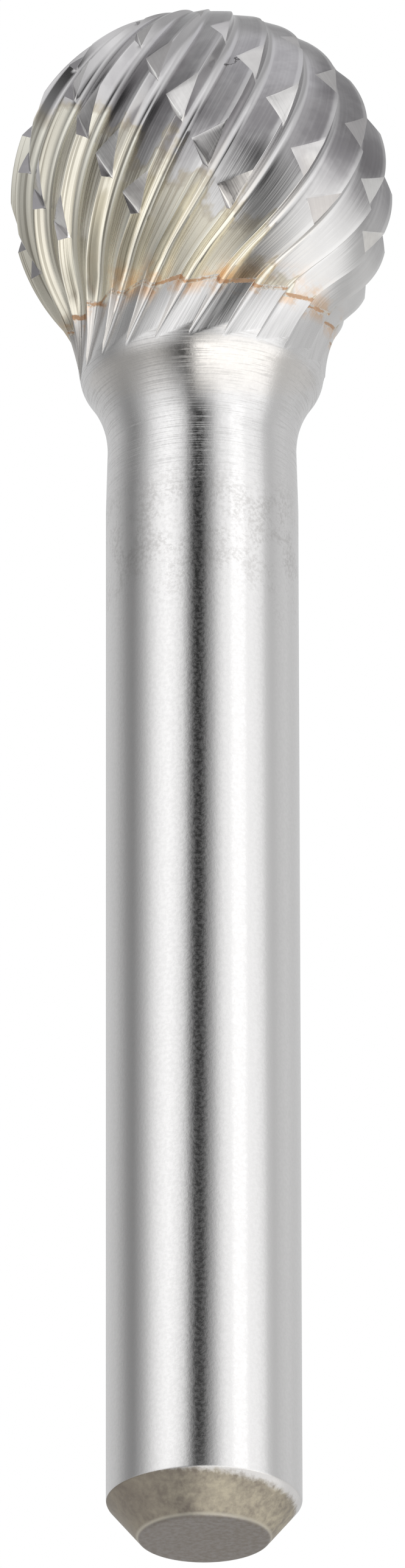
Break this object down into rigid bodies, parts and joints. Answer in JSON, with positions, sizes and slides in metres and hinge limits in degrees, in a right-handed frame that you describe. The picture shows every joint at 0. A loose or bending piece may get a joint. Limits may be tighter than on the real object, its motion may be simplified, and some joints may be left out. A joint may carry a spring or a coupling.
{
  "type": "carbide burr",
  "caption": "Ball-nosed rotary cutting tool: double-cut spiral-fluted carbide ball brazed to a plain round steel shank.",
  "frame": {"origin": "centre of the flat end of the shank", "axes": "+Z along the shank toward the ball, -Z out of the shank end"},
  "size_m": [0.012, 0.0119, 0.051],
  "materials": {
    "carbide": "ground",
    "braze": "ground",
    "steel": "polished"
  },
  "bodies": {
    "root": {"carbide_head": "carbide", "braze_joint": "braze", "shank": "steel"}
  },
  "joints": []
}
